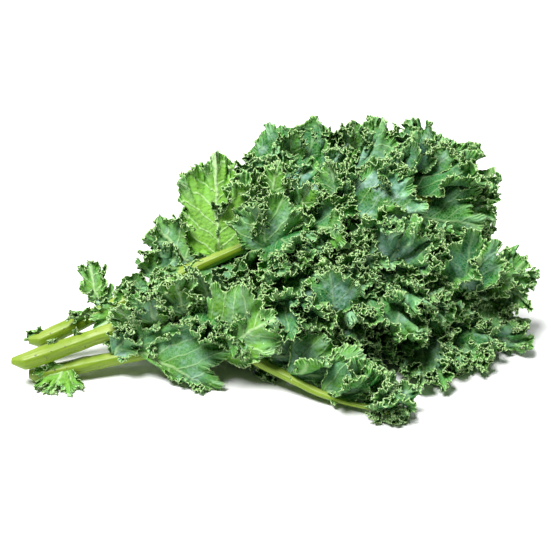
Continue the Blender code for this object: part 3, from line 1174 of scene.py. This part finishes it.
SMALL = {"waves": SMALL_WAVES, "detail": Detail.SMALL}
SMOOTH = {"waves": CALM, "turn_up": 15, "hem": 0.006}
LEAVES = {
    1: {
        "back": [
            Row(1, 0.43, 0.60, 4, (0.050, 0.081, 0.080), (42, 47), 18, (20, 36), tufts=3),
            Row(1, 0.67, 0.92, 5, (0.062, 0.058, 0.032), (40, 34), 18, (35, 35), tufts=2),
        ],
        "front": [Row(-1, 0.50, 0.66, 4, (0.045, 0.050, 0.045), (-5, -5), 35, tufts=1)],
        "fans": [
            Fan(0.392, 94, 5, 0.075, width=0.95, lopsided=-0.2, waves=BORDERED, turn_up=35, hem=0.010,
                fullness=0.90, tone=0.92, bloom=0.1, tooth=0.003),
            Fan(0.43, 80, 8, 0.056, width=0.8, waves=BORDERED, bloom=0.9, stand=-0.004),
            Fan(0.49, 100, 20, 0.042, width=1.1, waves=CALM, turn_up=20, hem=0.008, tone=0.50, bloom=0.6,
                stand=0.008, raised=-0.010),
            Fan(0.33, 130, -5, 0.042, **SMALL, tone=0.6, stand=-0.006, raised=0.004),
            Fan(0.27, 95, -5, 0.031, **SMALL, tone=0.45, bloom=0.8, stand=-0.006, raised=0.003),
            Fan(0.36, 240, 22, 0.056, raised=-0.006, tufts=2),
            Fan(0.31, 238, 20, 0.050, raised=-0.006, tufts=2),
            Fan(0.39, 265, 28, 0.054, raised=-0.006),
            Fan(0.26, 240, 18, 0.042, **SMALL, raised=-0.006),
            Fan(0.215, 250, 15, 0.030, **SMALL, raised=-0.007, tone=0.35),
            Fan(0.32, 300, 30, 0.042, waves=CALM, tone=0.45, bloom=0.4, stand=0.002, raised=-0.006),
            Fan(0.90, 345, 5, 0.027, **SMALL),
            Fan(0.655, 3, 10, 0.056, roll=-15, width=0.9, lopsided=0.7, waves=CALM, turn_up=10, hem=0.006,
                tone=0.10, bloom=1.0, stand=0.016, raised=-0.010),
            Fan(0.64, 105, 10, 0.036, width=0.6, waves=CALM, hem=0.006, tone=0.5, bloom=0.6, stand=0.010),
            Fan(0.50, 84, 5, 0.030, width=0.6, waves=CALM, tone=0.5, bloom=0.3, stand=0.006, raised=0.026,
                detail=Detail.SMALL),
            Fan(0.795, 352, 5, 0.052, roll=-10, width=0.8, waves=CALM, turn_up=10, hem=0.006, tone=0.05,
                bloom=0.2, lopsided=0.5, raised=-0.016),
            Fan(0.80, 95, 0, 0.040, tone=0.2, bloom=1.0, raised=0.021, stand=-0.010),
        ],
        "behind": [
            Row(1, 0.40, 0.88, 7, (0.062, 0.076, 0.042), (-2, -14), 55, (5, 5), detail=Detail.ROUGH),
        ],
    },
    2: {
        "front": [Row(-1, 0.36, 0.90, 10, (0.055, 0.072, 0.034), (-5, -5), 45, tufts=2)],
        "back": [Row(1, 0.40, 0.84, 5, (0.060, 0.065, 0.036), (5, 5), 20, detail=Detail.ROUGH)],
        "frills": [
            Row(-1, 0.42, 0.62, 4, (0.030, 0.034, 0.030), (50, 45), 25, **SMALL),
            Row(-1, 0.78, 0.90, 3, (0.034, 0.034, 0.028), (50, 40), 25, **SMALL),
            Fan(0.71, 65, 25, 0.056, tone=0.15, bloom=0.8, raised=-0.012, stand=0.010),
            Fan(0.87, 82, 15, 0.046, waves=CALM, tone=0.0, raised=-0.014, stand=0.022),
            Fan(0.95, 330, 20, 0.030, **SMALL),
            Fan(0.96, 50, 0, 0.032, **SMALL),
            Fan(0.62, 100, 10, 0.036, waves=CALM, detail=Detail.SMALL, tone=0.0, bloom=0.8, raised=-0.034,
                stand=0.030),
            Fan(0.24, 130, 25, 0.024, waves=SMALL_WAVES, detail=Detail.TUFT, tone=0.5, stand=0.007,
                raised=-0.005),
            Fan(0.275, 105, 28, 0.030, **SMALL, tone=0.5, bloom=0.7, stand=0.008, raised=-0.006),
            Fan(0.33, 100, 28, 0.034, **SMALL, tone=0.5, stand=0.008, raised=-0.006),
            Fan(0.385, 112, 25, 0.034, **SMALL, tone=0.35, bloom=0.9, stand=0.008, raised=-0.006),
            Fan(0.44, 100, 20, 0.028, waves=SMALL_WAVES, detail=Detail.TUFT, tone=0.0, bloom=0.2,
                stand=0.007, raised=-0.006),
        ],
    },
    3: {
        "front": [
            Row(-1, 0.95, 0.985, 2, (0.010, 0.012, 0.012), (0, 0), 20, waves=SMALL_WAVES,
                detail=Detail.TUFT),
        ],
        "back": [Row(1, 0.50, 0.92, 5, (0.042, 0.048, 0.036), (25, 20), 10, tufts=1)],
        "fans": [
            Fan(0.97, 350, 10, 0.015, **SMALL),
            Fan(0.29, 334, 12, 0.072, waves=CALM, turn_up=10, hem=0.006, width=0.62, fullness=1.1,
                lopsided=0.8, tooth=0.003, tone=0.25, stand=0.006, raised=0.004),
            Fan(0.29, 42, 10, 0.036, waves=CALM, width=0.6, tone=0.45, bloom=0.6, stand=0.004,
                detail=Detail.SMALL),
            Fan(0.53, 8, 8, 0.046, **SMOOTH, lopsided=0.8, tone=0.45, detail=Detail.SMALL),
            Fan(0.62, 5, 5, 0.044, **SMOOTH, lopsided=0.8, tone=0.40, bloom=0.6, detail=Detail.SMALL),
            Fan(0.71, 2, 5, 0.042, **SMOOTH, lopsided=0.8, tone=0.35, bloom=0.6, detail=Detail.SMALL),
            Fan(0.51, 64, 8, 0.056, waves=CALM, width=0.8, lopsided=-0.6, tone=0.50, stand=0.004),
            Fan(0.80, 0, 5, 0.044, waves=CALM, width=0.8, lopsided=0.8, tone=0.40, bloom=0.6),
            Fan(0.53, 34, 34, 0.062, **SMOOTH, width=0.9, lopsided=0.3, tone=0.55, bloom=0.4, stand=0.006,
                raised=-0.003, detail=Detail.SMALL),
        ],
    },
    4: {
        "front": [Row(-1, 0.15, 0.93, 5, (0.060, 0.070, 0.050), (0, 0), 10, detail=Detail.ROUGH)],
        "back": [Row(1, 0.15, 0.93, 7, (0.060, 0.070, 0.050), (38, 30), 30, detail=Detail.PLAIN)],
    },
    5: {
        "front": [Row(-1, 0.28, 0.80, 6, (0.055, 0.062, 0.045), (5, 5), 25, tufts=1)],
        "back": [Row(1, 0.15, 0.90, 5, (0.060, 0.060, 0.045), (0, 0), 10, detail=Detail.ROUGH)],
        "fans": [
            Fan(0.55, 95, 20, 0.042, waves=BORDERED, tone=0.05, bloom=0.8, raised=0.012, stand=0.036),
            Fan(0.745, 268, 56, 0.065, **SMALL, width=0.6),
            Fan(0.80, 266, 54, 0.053, **SMALL),
            Fan(0.90, 272, 55, 0.037, **SMALL),
            Fan(0.97, 30, 10, 0.026, **SMALL),
        ],
    },
}
LEAFLETS = {
    "leaflet_1_upper": (1, [
        Fan(0.140, 102, 5, 0.028, waves=JAGGED, hem=0.004, fullness=1.3, tooth=0.0035, scallop=0.18,
            width=0.8, curl=35, tone=0.6, bloom=0.2, raised=0.011, detail=Detail.SMALL),
        Fan(0.135, 165, 20, 0.022, waves=JAGGED, hem=0.004, fullness=2.5, sweep=60, tone=0.7, bloom=0.2,
            width=0.6, stand=0.005, detail=Detail.TUFT),
    ]),
    "leaflet_1_back": (1, [
        Fan(0.151, 108, -10, 0.018, waves=JAGGED, hem=0.004, tone=0.8, bloom=0.9, raised=0.005,
            detail=Detail.TUFT),
        Fan(0.175, 40, 0, 0.018, waves=JAGGED, hem=0.003, fullness=2.0, raised=0.005, detail=Detail.TUFT),
    ]),
    "leaflet_1_front": (1, [
        Fan(0.200, 212, 20, 0.028, waves=JAGGED, hem=0.004, stand=0.004, raised=-0.008, tone=0.5, bloom=0.9,
            curl=30, detail=Detail.SMALL),
    ]),
    "leaflet_1_low": (1, [
        Fan(0.030, 203, 0, 0.014, waves=JAGGED, hem=0.003, fullness=2.4, raised=0.006, tone=0.4,
            detail=Detail.TUFT),
    ]),
    "leaflet_2_low": (2, [
        Fan(0.119, 70, 10, 0.006, waves=JAGGED, hem=0.002, raised=0.006, tone=0.4, detail=Detail.BUD),
        Fan(0.079, 100, 10, 0.004, waves=JAGGED, hem=0.002, raised=0.006, tone=0.4, detail=Detail.BUD),
    ]),
    "leaflet_3_front": (3, [
        Fan(0.097, 248, 20, 0.027, waves=JAGGED, hem=0.004, width=1.2, fullness=0.9, tooth=0.004,
            scallop=0.18, tone=0.70, bloom=0.0, stand=0.004, raised=0.003, curl=20, detail=Detail.SMALL),
    ]),
    "leaflet_3_upper": (3, [
        Fan(0.229, 48, 15, 0.026, waves=SMALL_WAVES, stand=0.004, raised=0.003, bloom=0.9,
            detail=Detail.SMALL),
    ]),
}
# How many rings each stem has along it, and how much of its midrib is shown.
STEMS = {1: (110, 0.94), 2: (110, 1.0), 3: (110, 1.0), 4: (40, 1.0), 5: (40, 1.0)}


def gathered(plans: list[Row | Fan], line: CentreLine, seed: int, step: int) -> list[Lobe]:
    """All the lobes of some rows and fans.

    Args:
        plans: The rows and the fans.
        line: The midrib that they grow on.
        seed: What the first one's randomness starts from.
        step: How far apart their seeds are.

    Returns:
        The lobes.
    """
    return [lobe for j, plan in enumerate(plans) for lobe in plan.lobes(line, seed + step * j)]


def main() -> None:
    """Builds the bunch and its studio."""
    logging.basicConfig(level=logging.INFO, format="%(message)s")
    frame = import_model()
    face = LeafFinish().make()
    skin = StemFinish().make()
    cut = CutFinish().make()
    lines = {number: CentreLine.of_node(frame["nodes"][f"stem_{number}"]) for number in STEMS}
    for number, parts in LEAVES.items():
        for k, (name, plans) in enumerate(parts.items()):
            lobes = gathered(plans, lines[number], 100 * number + 50 * k, 7)
            Blade(f"leaf_{number}_{name}", f"blade_{number}", "blade", lobes, [face]).build()
    for k, (name, (number, plans)) in enumerate(LEAFLETS.items()):
        lobes = gathered(plans, lines[number], 1000 + 10 * k, 1)
        Blade(f"{name}_leaf", name, "leaflet", lobes, [face]).build()
    for number, (stations, shown) in STEMS.items():
        Stem(number, lines[number], stations, shown, [skin, cut]).build()
    Studio().build()


if __name__ == "__main__":
    main()
